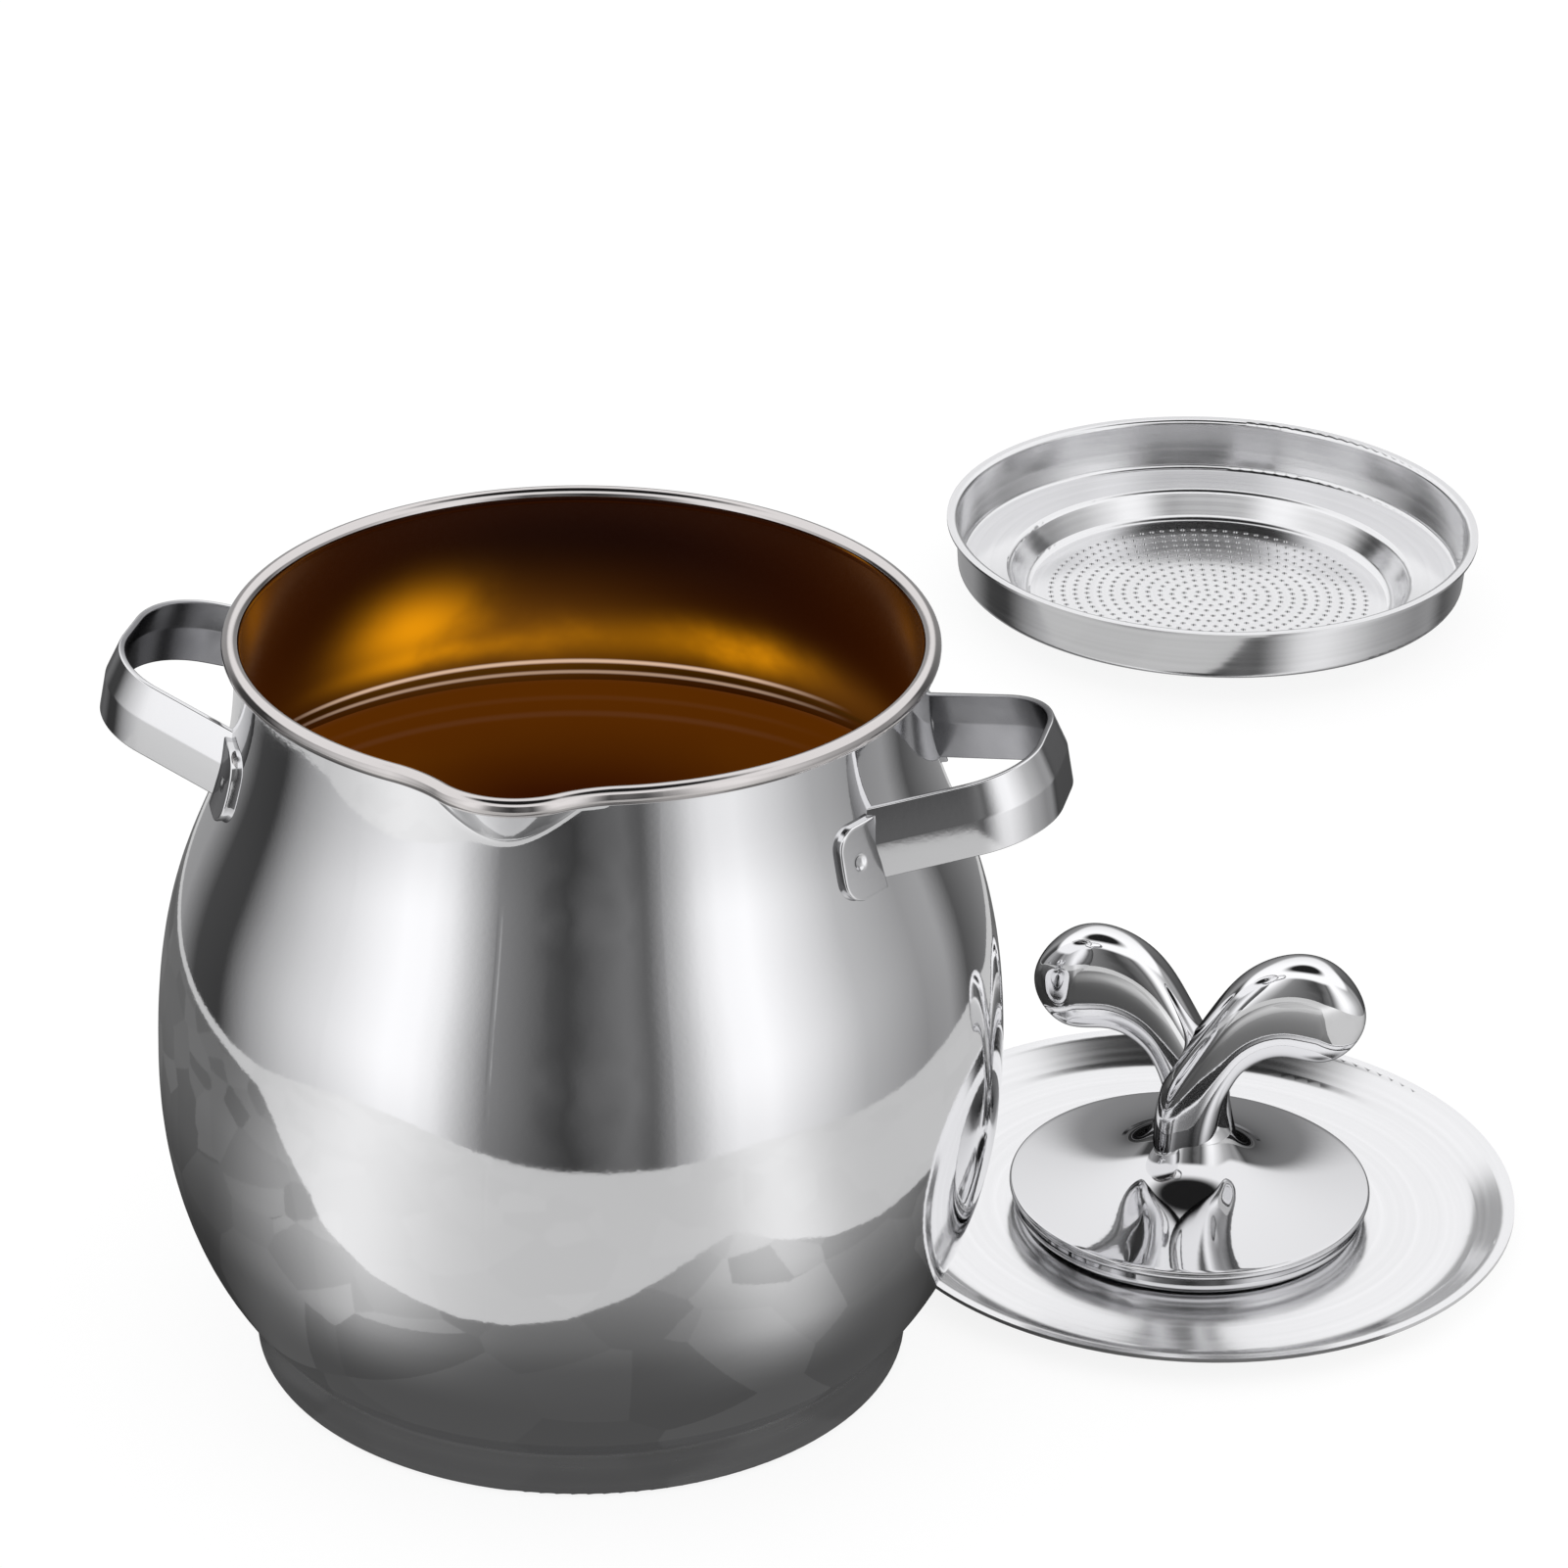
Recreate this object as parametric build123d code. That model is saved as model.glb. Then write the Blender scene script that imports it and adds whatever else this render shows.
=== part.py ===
from build123d import *
import os
from math import acos, asin, cos, degrees, radians, sin, sqrt

# Grease pot with a drop-in strainer and a dished lid, in millimetres.
# Origin: centre of the foot, on the surface the pot stands on. +Z is up, the pouring lip faces -Y, and
# the handles stand out nearly along X. The lid and the strainer lie beside the pot on the same surface.

# Pot
pot_height = 145.8            # foot to the top of the rolled rim
rim_radius = 65.0             # outside of the rolled rim
bead_diameter = 3.4           # thickness of the rolled rim
pot_sheet = 0.7
neck_step = 0.5               # how far the neck's inside stands back from the rim's inside
neck_land = 2.8               # straight neck below the middle of the rolled rim
belly_radius = 78.7
belly_height = 59.3           # height of the widest ring
waist_angle = 46.0            # slope at which the belly leaves the foot band, in degrees
waist_pull = 0.19             # shape of the belly's curves, as shares of each curve's height
belly_pull = 0.55
shoulder_pull = 0.61
neck_pull = 0.456

# Foot band
foot_radius = 61.7
foot_height = 9.0
foot_edge = 1.2               # rounded edge round the bottom
skirt_depth = 5.0             # how deep the body is set into the base cup
core_margin = 1.2             # gap between the heat-spreading core and the cup's wall

# Pouring lip
lip_reach = 5.8               # how far the lip stands out of the round rim
lip_radius = 16.0             # roundness of the lip seen from above
lip_blend = 30.0              # hollow curve where the rim runs into the lip
lip_depth = 11.8              # rim's top to the lip's lowest point
lip_cone_radius = 19.5        # roundness of the pressed cone at the rim
lip_root_radius = 10.8        # and at its lowest point

# Handles
handle_sheet = 1.3
handle_reach = 86.0           # pot's axis to the outside of the handle
handle_root_half = 24.8       # half the spacing of the legs at the pot
handle_outer_half = 15.7      # half the length of the grip
handle_corner = 16.1
handle_drop = 16.9            # rim's top to the top of the strap where it meets the pot
handle_tilt = 14.0            # rise of the strap away from the pot, in degrees
handle_turn = -2.5            # both handles stand a little off square to the lip, in degrees
strap_upper = 6.3             # height of the strap above its fold
strap_lower = 7.0             # height of the strap below its fold
fold_out = 1.3                # how far the fold stands out
edge_in = 0.4                 # how far the lower edge stands in from the fold
strap_fold_radius = 2.0
tab_width = 8.5
tab_height = 13.4
tab_drop = 0.8                # strap's top to the tab's top
tab_corner = 4.0
weld_dimple_radius = 1.3
weld_dimple_depth = 0.5

# Strainer
strainer_sheet = 0.6
strainer_depth = 20.0
strainer_clearance = 0.3      # gap round the strainer in the pot's mouth
strainer_lip = 2.1            # how far its edge turns out over the rim
strainer_taper = 0.9          # how much narrower its upper wall is at the shelf
shelf_drop = 12.5             # edge to shelf
shelf_fall = 0.8              # slope of the shelf towards the middle
shelf_inner_radius = 48.0
sieve_wall_slope = 3.8        # how much narrower the lower wall is at the floor
sieve_bend = 2.5              # bend from the sieve up to the lower wall
shelf_bend = 1.4
edge_bend = 0.8
sieve_radius = 37.9           # outermost ring of holes
sieve_rings = 13
holes_per_ring = 7            # holes that each ring has more than the one inside it
sieve_hole_diameter = 1.25

# Lid
lid_sheet = 0.8
lid_setback = 1.0             # how far the lid's edge stays inside the rim's outside
lid_rise = 4.5                # height of the lid's edge over its floor
lid_slope_width = 8.5         # width of the rising zone
raised_radius = 24.0          # raised middle under the knob
raised_slope = 3.0
raised_bend = 1.5
lid_bend = 6.0
lid_edge_bend = 2.0
lid_edge_width = 2.0          # flat edge that rests on the rim

# Knob, with heights above the lid's floor
flange_radius = 35.8
flange_height = 5.8
flange_lip_height = 2.2
flange_groove = 0.8
flange_foot_radius = 31.5
stem_radius = 7.8
flare_height = 18.5           # where the flange's flare reaches the stems
flare_peak = 27.0             # top of the flare inside the crossed stems
flare_pull = 0.56             # shape of the flare: how far in it stays low
flare_lift = 1.7
flare_drop = 4.2
hollow_radius = 28.5
hollow_clearance = 0.5
boss_radius = 7.0
leaf_thickness = 12.0
leaf_stagger = 4.0            # how far one leaf stands in front of the other
leaf_rounding = 4.0
stem_foot = 11.5              # height at which the stems meet the flange
front_foot = 7.4              # how far the front stem's foot stands out to its side
back_foot = 9.6
leaf_outline = [              # right-hand leaf seen from the front: up the stem, over the top, tip, back down
    (-7.2, 21.0),
    (-5.8, 29.0),
    (-2.0, 37.0),
    (2.5, 45.0),
    (8.0, 54.0),
    (17.5, 59.0),
    (27.0, 56.8),
    (32.6, 49.5),
    (31.8, 41.0),
    (26.0, 37.4),
    (16.5, 37.8),
    (10.0, 34.5),
    (6.4, 27.5),
    (4.8, 20.0),
]

# Knob's fastening
screw_radius = 2.0
screw_length = 14.0
screw_head_radius = 4.0
screw_head_height = 2.2
screw_slot_width = 1.0
screw_slot_depth = 0.9
thread_clearance = 0.02
hole_clearance = 0.25
washer_radius = 5.2
washer_thickness = 0.6
table_clearance = 0.6         # screw head to the surface that the lid lies on

# Where the lid and the strainer lie
lid_gap = 0.8                 # pot's foot to the lid's edge
lid_bearing = 31.0            # direction from the pot's axis to the lid's, in degrees from +X
strainer_gap = 160.0          # lid's edge to the strainer's edge
strainer_bearing = 96.4       # direction from the lid's axis to the strainer's

UPWARD = (Align.CENTER, Align.CENTER, Align.MIN)

# Worked out
mouth_radius = rim_radius - bead_diameter
bead_circle = rim_radius - bead_diameter / 2
bead_height = pot_height - bead_diameter / 2
neck_radius = mouth_radius + neck_step + pot_sheet
neck_height = bead_height - neck_land
skirt_radius = foot_radius - pot_sheet
floor_height = foot_height - skirt_depth
lip_centre = lip_radius - bead_circle - lip_reach
handle_top = pot_height - handle_drop
lid_radius = rim_radius - lid_setback
lid_floor_radius = lid_radius - lid_slope_width
strainer_wall_radius = mouth_radius - strainer_clearance
strainer_radius = strainer_wall_radius + strainer_lip
raised_height = washer_thickness + screw_head_height + table_clearance
lid_distance = foot_radius + lid_radius + lid_gap
lid_centre = Vector(lid_distance, 0, 0).rotate(Axis.Z, lid_bearing)
strainer_distance = lid_radius + strainer_radius + strainer_gap
strainer_centre = lid_centre + Vector(strainer_distance, 0, 0).rotate(Axis.Z, strainer_bearing)
lid_place = Pos(lid_centre)
strainer_place = Pos(strainer_centre)


def turned(*edges):
    """Solid of revolution about Z from a closed outline drawn in X (radius) and Z (height)."""
    return revolve(make_face(Curve() + list(edges)), Axis.Z)


def point(radius, height):
    return (radius, 0, height)


def belly_points(inset):
    """Control points of the pot's side, each leg moved square to itself by the inset."""
    slope = radians(waist_angle)
    lower = belly_height - foot_height
    upper = neck_height - belly_height
    waist = Vector(foot_radius, 0, foot_height) + Vector(-sin(slope), 0, cos(slope)) * inset
    waist_end = waist + Vector(cos(slope), 0, sin(slope)) * (waist_pull * lower)
    belly = belly_radius - inset
    neck = neck_radius - inset
    low_curve = [waist, waist_end, point(belly, belly_height - belly_pull * lower), point(belly, belly_height)]
    high_curve = [
        point(belly, belly_height),
        point(belly, belly_height + shoulder_pull * upper),
        point(neck, neck_height - neck_pull * upper),
        point(neck, neck_height),
    ]
    return low_curve, high_curve


def side_solid(inset):
    """Everything inside the pot's side, from its floor to the middle of the rolled rim."""
    low_curve, high_curve = belly_points(inset)
    neck = neck_radius - inset
    skirt = skirt_radius - inset
    floor = floor_height + inset
    return turned(
        Bezier(*low_curve),
        Bezier(*high_curve),
        Line(point(neck, neck_height), point(neck, bead_height)),
        Line(point(neck, bead_height), point(0, bead_height)),
        Line(point(0, bead_height), point(0, floor)),
        Line(point(0, floor), point(skirt, floor)),
        Line(point(skirt, floor), point(skirt, foot_height)),
        Line(point(skirt, foot_height), low_curve[0]),
    )


def lip_solid(inset):
    """Slanted cone that is pressed out of the neck to form the pouring lip."""
    root_centre = lip_root_radius - neck_radius
    cone_centre = lip_cone_radius - neck_radius - lip_reach
    low_ring = Pos(0, root_centre, pot_height - lip_depth) * Circle(lip_root_radius - inset)
    high_ring = Pos(0, cone_centre, bead_height) * Circle(lip_cone_radius - inset)
    return loft([low_ring, high_ring], ruled=True)


def rim_path():
    """Middle line of the rolled rim: a circle that runs out into the lip by two hollow arcs.

    Each hollow arc touches the rim's circle and the lip's circle from outside, so its centre lies at the
    sum of the radii from both, and the cosine rule gives the direction.
    """
    rim_centre = Vector(0, 0, bead_height)
    curl_centre = Vector(0, lip_centre, bead_height)
    rim_side = bead_circle + lip_blend
    lip_side = lip_radius + lip_blend
    between = -lip_centre
    angle = acos((between**2 + rim_side**2 - lip_side**2) / (2 * between * rim_side))
    right, left = [], []
    for side, points in ((1, right), (-1, left)):
        hollow = rim_centre + Vector(side * sin(angle), -cos(angle), 0) * rim_side
        to_rim = (rim_centre - hollow).normalized()
        to_lip = (curl_centre - hollow).normalized()
        middle = (to_rim + to_lip).normalized()
        points += [hollow + direction * lip_blend for direction in (to_rim, middle, to_lip)]
    lip_tip = curl_centre - Vector(0, lip_radius, 0)
    rim_back = rim_centre + Vector(0, bead_circle, 0)
    return Wire([
        ThreePointArc(left[0], rim_back, right[0]),
        ThreePointArc(*right),
        ThreePointArc(right[2], lip_tip, left[2]),
        ThreePointArc(*reversed(left)),
    ])


def pot_body():
    shell = side_solid(0) + lip_solid(0) - side_solid(pot_sheet) - lip_solid(pot_sheet)
    path = rim_path()
    section = Plane(origin=path @ 0, z_dir=path % 0) * Circle(bead_diameter / 2)
    return shell + sweep(section, path=path)


def base_core():
    """Heat-spreading disc shut in between the pot's floor and the base cup."""
    return Pos(0, 0, pot_sheet) * Cylinder(skirt_radius - core_margin, floor_height - pot_sheet, align=UPWARD)


def base_cup():
    """Pressed cup that closes the bottom; its wall is the foot band."""
    outside = Cylinder(foot_radius, foot_height, align=UPWARD)
    outside = fillet(outside.edges().group_by(Axis.Z)[0], foot_edge)
    return outside - Pos(0, 0, pot_sheet) * Cylinder(skirt_radius, foot_height, align=UPWARD)


def strap_section():
    """Folded strip: outer face first, then the same points one sheet further in."""
    outer = [(0, 0), (fold_out, -strap_upper), (fold_out - edge_in, -strap_upper - strap_lower)]
    inner = [(x - handle_sheet, y) for x, y in reversed(outer)]
    strip = make_face(Polyline(*outer, *inner, close=True))
    folds = strip.vertices().group_by(Axis.Y)[1]
    return fillet(folds, strap_fold_radius)


def strap():
    """The section carried round the grip, in a plane that rises away from the pot."""
    root_x = sqrt(neck_radius**2 - handle_root_half**2)
    tilt = radians(handle_tilt)
    rising = Plane(origin=(root_x, 0, handle_top), x_dir=(cos(tilt), 0, sin(tilt)),
                   z_dir=(-sin(tilt), 0, cos(tilt)))
    reach = (handle_reach - root_x) / cos(tilt)
    widening = (handle_root_half - handle_outer_half) / reach
    buried = reach / 2
    root_half = handle_root_half + buried * widening
    path = rising * FilletPolyline(
        (-buried, -root_half), (reach, -handle_outer_half), (reach, handle_outer_half), (-buried, root_half),
        radius=handle_corner)
    along = path % 0
    section = Plane(origin=path @ 0, x_dir=along.cross(rising.z_dir), z_dir=-along) * strap_section()
    return sweep(section, path=path)


def welding_tab(side, plate, dimple_layer):
    """Round-cornered end of the strap, bent to lie on the pot, with one spot weld."""
    outline = Pos(-handle_sheet, 0) * Rectangle(tab_width + handle_sheet, tab_height,
                                                align=(Align.MIN, Align.MAX))
    outline = fillet(outline.vertices().group_by(Axis.X)[-1], tab_corner)
    if side < 0:
        outline = mirror(outline, Plane.YZ)
    bearing = degrees(asin(handle_root_half / neck_radius)) * side
    place = Rot(0, 0, bearing) * Pos(0, 0, handle_top - tab_drop)
    block = place * extrude(Plane.YZ * outline, amount=belly_radius)
    weld = Plane.YZ * Pos(side * tab_width / 2, -tab_height / 2) * Circle(weld_dimple_radius)
    weld = place * extrude(weld, amount=belly_radius)
    return (plate & block) - (dimple_layer & weld)


def handle():
    """Right-hand handle: one strap bent round the grip, with a tab welded to the pot at each end."""
    pot_side = side_solid(0)
    plate_side = side_solid(-handle_sheet)
    dimple_side = side_solid(weld_dimple_depth - handle_sheet)
    piece = strap() - pot_side
    for side in (-1, 1):
        piece += welding_tab(side, plate_side - pot_side, plate_side - dimple_side)
    return piece


def pressed_sheet(sheet, bends, points):
    """Round pressing of even thickness: its middle line, rounded at each bend, turned about Z."""
    line = FilletPolyline(*points, radius=bends)
    return revolve(Plane.XZ * trace(line, sheet), Axis.Z)


def strainer_pan():
    """Stepped pan with rings of seven, fourteen, twenty-one and so on holes round one in the middle."""
    half = strainer_sheet / 2
    edge_height = strainer_depth - half
    shelf_height = strainer_depth - shelf_drop
    pan = pressed_sheet(strainer_sheet, [sieve_bend, shelf_bend, shelf_bend, edge_bend], [
        (0, half),
        (shelf_inner_radius - sieve_wall_slope, half),
        (shelf_inner_radius, shelf_height - shelf_fall),
        (strainer_wall_radius - half - strainer_taper, shelf_height),
        (strainer_wall_radius - half, edge_height),
        (strainer_radius, edge_height),
    ])
    pin = Cylinder(sieve_hole_diameter / 2, 4 * strainer_sheet)
    pins = [pin]
    for ring in range(1, sieve_rings + 1):
        pitch_radius = sieve_radius * ring / sieve_rings
        pins += [place * pin for place in PolarLocations(pitch_radius, holes_per_ring * ring)]
    return strainer_place * (pan - pins)


def lid_plate():
    half = lid_sheet / 2
    plate = pressed_sheet(lid_sheet, [raised_bend, raised_bend, lid_bend, lid_edge_bend], [
        (0, raised_height + half),
        (raised_radius, raised_height + half),
        (raised_radius + raised_slope, half),
        (lid_floor_radius, half),
        (lid_radius - lid_edge_width, lid_rise + half),
        (lid_radius, lid_rise + half),
    ])
    hole = Cylinder(screw_radius + hole_clearance, 4 * raised_height)
    return lid_place * (plate - hole)


def flange():
    """Round base of the knob: rounded foot, groove, lip and a flared top, hollow over the lid's middle."""
    lip_foot = flange_height - flange_lip_height
    groove_radius = flange_radius - flange_groove
    groove_floor = groove_radius - flange_groove
    groove_bottom = lip_foot - flange_groove
    top_radius = groove_radius
    ceiling = raised_height + hollow_clearance
    return turned(
        Bezier(point(flange_foot_radius, 0), point(groove_radius - flange_groove, 0),
               point(groove_radius, groove_bottom / 2), point(groove_radius, groove_bottom)),
        Line(point(groove_radius, groove_bottom), point(groove_floor, groove_bottom)),
        Line(point(groove_floor, groove_bottom), point(groove_floor, lip_foot)),
        Bezier(point(groove_floor, lip_foot), point(flange_radius, lip_foot),
               point(flange_radius, flange_height), point(top_radius, flange_height)),
        Bezier(point(top_radius, flange_height), point(flare_pull * flange_radius, flange_height + flare_lift),
               point(stem_radius + flare_lift, flange_height + flare_drop), point(stem_radius, flare_height)),
        Line(point(stem_radius, flare_height), point(0, flare_peak)),
        Line(point(0, flare_peak), point(0, raised_height)),
        Line(point(0, raised_height), point(boss_radius, raised_height)),
        Line(point(boss_radius, raised_height), point(boss_radius, ceiling)),
        Line(point(boss_radius, ceiling), point(hollow_radius, ceiling)),
        Line(point(hollow_radius, ceiling), point(hollow_radius, 0)),
        Line(point(hollow_radius, 0), point(flange_foot_radius, 0)),
    )


def leaf(foot):
    """Stem and drooping leaf seen from the front, thickened and rounded all round."""
    stem_side = leaf_outline[-1][0]
    outline = [(-foot, stem_foot), *leaf_outline, (stem_side, stem_foot)]
    face = Plane.XZ * make_face(Curve() + [Spline(*outline), Line(outline[-1], outline[0])])
    blade = extrude(face, amount=leaf_thickness / 2, both=True)
    edges = blade.edges().filter_by(GeomType.BSPLINE)
    return fillet(edges, leaf_rounding)


def knob():
    """One casting: the flange and two leaves whose stems cross, one in front of the other."""
    front = Pos(0, -leaf_stagger / 2, 0) * leaf(front_foot)
    back = Pos(0, leaf_stagger / 2, 0) * mirror(leaf(back_foot), Plane.YZ)
    casting = Pos(0, 0, lid_sheet) * (flange() + front + back)
    screw_end = raised_height - washer_thickness + screw_length
    hole = Cylinder(screw_radius + thread_clearance, screw_end + table_clearance, align=UPWARD)
    return lid_place * (casting - hole)


def knob_screw():
    head = Pos(0, 0, table_clearance) * Cylinder(screw_head_radius, screw_head_height, align=UPWARD)
    shank = Pos(0, 0, table_clearance + screw_head_height) * Cylinder(screw_radius, screw_length, align=UPWARD)
    slot = Box(2 * screw_head_radius, screw_slot_width, table_clearance + screw_slot_depth, align=UPWARD)
    return lid_place * (head + shank - slot)


def screw_washer():
    ring = Circle(washer_radius) - Circle(screw_radius + hole_clearance)
    return lid_place * Pos(0, 0, raised_height - washer_thickness) * extrude(ring, washer_thickness)


os.makedirs("parts", exist_ok=True)
right_handle = Rot(0, 0, handle_turn) * handle()
pieces = {
    "pot_body": pot_body(),
    "base_core": base_core(),
    "base_cup": base_cup(),
    "handle_right": right_handle,
    "handle_left": Rot(0, 0, 180) * right_handle,
    "strainer_pan": strainer_pan(),
    "lid_plate": lid_plate(),
    "knob": knob(),
    "knob_screw": knob_screw(),
    "screw_washer": screw_washer(),
}
for name, piece in pieces.items():
    export_step(piece, f"parts/{name}.step")
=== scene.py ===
import bmesh
import bpy
import numpy as np
from math import cos, pi, radians, sin
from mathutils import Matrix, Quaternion, Vector


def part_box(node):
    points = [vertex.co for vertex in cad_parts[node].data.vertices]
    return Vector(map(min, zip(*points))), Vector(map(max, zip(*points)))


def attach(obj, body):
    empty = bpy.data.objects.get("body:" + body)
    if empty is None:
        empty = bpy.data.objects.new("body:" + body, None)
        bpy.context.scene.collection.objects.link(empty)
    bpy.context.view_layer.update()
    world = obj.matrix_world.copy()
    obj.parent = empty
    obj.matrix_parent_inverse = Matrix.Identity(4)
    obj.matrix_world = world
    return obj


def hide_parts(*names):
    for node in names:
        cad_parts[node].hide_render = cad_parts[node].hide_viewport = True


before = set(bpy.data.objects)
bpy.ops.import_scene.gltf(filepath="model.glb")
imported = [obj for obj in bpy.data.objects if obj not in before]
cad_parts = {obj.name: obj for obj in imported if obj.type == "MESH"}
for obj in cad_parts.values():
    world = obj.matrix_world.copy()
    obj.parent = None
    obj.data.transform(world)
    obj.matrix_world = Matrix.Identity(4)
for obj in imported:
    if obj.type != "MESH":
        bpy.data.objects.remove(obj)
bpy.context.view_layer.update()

# Camera, in metres and degrees, with its lens in millimetres
camera_place = Vector((0.21256, -0.95852, 0.61089))
camera_aim = Vector((0.03381, 0.02047, 0.10804))
camera_roll = 1.0
camera_lens = 138.11


# ---------------------------------------------------------------- sizes, in millimetres

pot_height = 145.8
rim_radius = 65.0
bead_diameter = 3.4
pot_sheet = 0.7
neck_step = 0.5
neck_land = 2.8
belly_radius = 78.7
belly_height = 59.3
waist_angle = 46.0
waist_pull = 0.19
belly_pull = 0.55
shoulder_pull = 0.61
neck_pull = 0.456
foot_radius = 61.7
foot_height = 9.0
skirt_depth = 5.0
lip_reach = 5.8
lip_radius = 16.0
lip_blend = 30.0
lip_depth = 11.8
lip_cone_radius = 19.5
lip_root_radius = 10.8
lip_crease = 0.3              # softness of the crease where the lip leaves the neck
lip_zone = 25.0               # finer mesh on each side of the lip, in degrees
lip_start, lip_full = 130.0, 133.0    # heights between which the lip's bulge comes in
fine_height = 131.0           # finer mesh above this height
coarse_step, fine_step = 1.6, 0.3

handle_sheet = 1.3
handle_reach = 86.0
handle_root_half = 24.8
handle_outer_half = 15.7
handle_corner = 16.1
handle_drop = 16.9
handle_tilt = 14.0
handle_turn = -2.5
strap_upper = 6.3
strap_lower = 7.0
fold_out = 1.3
edge_in = 0.4
strap_fold_radius = 2.0
strap_edge_radius = 0.3
tab_width = 8.5
tab_height = 13.4
tab_drop = 0.8
tab_corner = 4.0
tab_edge = 0.45
weld_dimple_radius = 1.3
weld_dimple_depth = 0.45
leg_sink = 0.2                # how far the legs and tabs run into the pot's sheet
leg_search = 9.0              # how far before and after its root a leg may meet the pot

flange_radius = 35.8
flange_height = 5.8
flange_lip_height = 2.2
flange_groove = 0.8
flange_foot_radius = 31.5
stem_radius = 7.8
flare_height = 18.5
flare_peak = 27.0
flare_pull = 0.56
flare_lift = 1.7
flare_drop = 4.2
hollow_radius = 28.5
hollow_height = 4.0
lid_sheet = 0.8
leaf_half = 6.0               # half the thickness of a leaf
leaf_squareness = 2.7         # 2 would make a leaf's section round
leaf_tip_share = 0.16         # part of a leaf's length that its round tip takes
leaf_rows = 120
leaf_stagger = 4.0
leaf_outline = [              # from the foot up the stem, over the top to the tip, and back down
    (-7.2, 21.0), (-5.8, 29.0), (-2.0, 37.0), (2.5, 45.0), (8.6, 53.6), (17.5, 58.6),
    (26.8, 56.8), (32.7, 46.8), (26.5, 38.0), (17.5, 37.8), (11.0, 34.8), (8.2, 31.0),
    (6.6, 27.0), (5.6, 22.5), (5.0, 17.0),
]
stem_foot = 11.5
stem_sink = 3.2               # how far a stem's round end runs down into the flange
front_foot = 7.4
back_foot = 9.6

mouth_radius = rim_radius - bead_diameter
bead_circle = rim_radius - bead_diameter / 2
bead_height = pot_height - bead_diameter / 2
neck_radius = mouth_radius + neck_step + pot_sheet
neck_height = bead_height - neck_land
skirt_radius = foot_radius - pot_sheet
floor_height = foot_height - skirt_depth
lip_centre = bead_circle + lip_reach - lip_radius
cone_centre = neck_radius + lip_reach - lip_cone_radius
handle_top = pot_height - handle_drop

grease_level = 100.3
creep_width = 2.2
creep_height = 1.2
grease_overlap = 0.1          # how far the grease runs into the wall
grease_deep, grease_thin = 6.0, 70.0  # distances from the axis between which its painted glow turns from dark red to amber
upper_ring_highlight = 106.0            # heights on the wall of two pale rings painted as highlights, and of the dark band between them
dark_ring = 104.55
lower_ring_highlight = 103.1

merge_distance = 2e-6         # in metres
crease_angle = 35.0           # edges that turn by more stay sharp, in degrees


# ---------------------------------------------------------------- shader arithmetic

class Flow:
    """An output socket that takes part in plain arithmetic; each operator adds one Math node."""

    def __init__(self, tree, socket):
        self.tree = tree
        self.socket = socket

    def math(self, operation, *values):
        return node(self.tree, "ShaderNodeMath", {"operation": operation}, dict(enumerate(values)))

    def __add__(self, other):
        return self.math("ADD", self, other)

    def __sub__(self, other):
        return self.math("SUBTRACT", self, other)

    def __rsub__(self, other):
        return self.math("SUBTRACT", other, self)

    def __mul__(self, other):
        return self.math("MULTIPLY", self, other)

    def __truediv__(self, other):
        return self.math("DIVIDE", self, other)

    def __pow__(self, other):
        return self.math("POWER", self, other)

    def __abs__(self):
        return self.math("ABSOLUTE", self)

    __radd__ = __add__
    __rmul__ = __mul__

    def ramp(self, low, high, start=0.0, end=1.0):
        """Soft step that goes from start to end while the value goes from low to high."""
        sockets = {"Value": self, "From Min": low, "From Max": high, "To Min": start, "To Max": end}
        return node(self.tree, "ShaderNodeMapRange", {"interpolation_type": "SMOOTHSTEP"}, sockets)

    def band(self, low, high, soft):
        """One between low and high, with soft edges outside them."""
        return self.ramp(low - soft, low) * self.ramp(high, high + soft, 1.0, 0.0)

    def towards(self, other, share):
        """This value blended towards another one by a share."""
        return self + (other - self) * share


def node(tree, kind, settings=None, sockets=None, out=0):
    """Adds a node: its settings first, then its sockets, by name or number; gives one output, if any.

    A colour ramp's stops come among the settings, each a place and a grey level.
    """
    made = tree.nodes.new(kind)
    settings = dict(settings or {})
    for number, (place, level) in enumerate(settings.pop("stops", [])):
        stops = made.color_ramp.elements
        if number == len(stops):
            stops.new(1.0)
        stops[number].position = place
        stops[number].color = (level, level, level, 1)
    for name, value in settings.items():
        setattr(made, name, value)
    for name, value in (sockets or {}).items():
        if isinstance(value, Flow):
            tree.links.new(value.socket, made.inputs[name])
        else:
            made.inputs[name].default_value = value
    return Flow(tree, made.outputs[out]) if len(made.outputs) else None


def blended(tree, share, first, second):
    """Colour that goes from the first to the second by a share."""
    sockets = {0: share, 6: first, 7: second}
    return node(tree, "ShaderNodeMix", {"data_type": "RGBA"}, sockets, out=2)


def dot(tree, vector, direction):
    """How far a vector reaches along a direction."""
    settings = {"operation": "DOT_PRODUCT"}
    return node(tree, "ShaderNodeVectorMath", settings, {0: vector, 1: direction}, out="Value")


def noise(tree, place, scale, detail):
    """Soft noise between 0 and 1."""
    return node(tree, "ShaderNodeTexNoise", {}, {"Vector": place, "Scale": scale, "Detail": detail})


def empty_material(name):
    """New material without nodes, and its tree."""
    material = bpy.data.materials.new(name)
    material.use_nodes = True
    material.node_tree.nodes.clear()
    return material, material.node_tree


def show(tree, shader, kind="ShaderNodeOutputMaterial"):
    """Joins a shader to the tree's output."""
    node(tree, kind, {}, {"Surface": shader})


def add_mesh(name, points, faces):
    """Object with one mesh, from a grid or list of points in millimetres and the faces' corners."""
    mesh = bpy.data.meshes.new(name)
    mesh.from_pydata((points.reshape(-1, 3) / 1000).tolist(), [], faces.tolist())
    made = bpy.data.objects.new(name, mesh)
    bpy.context.scene.collection.objects.link(made)
    return made


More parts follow.
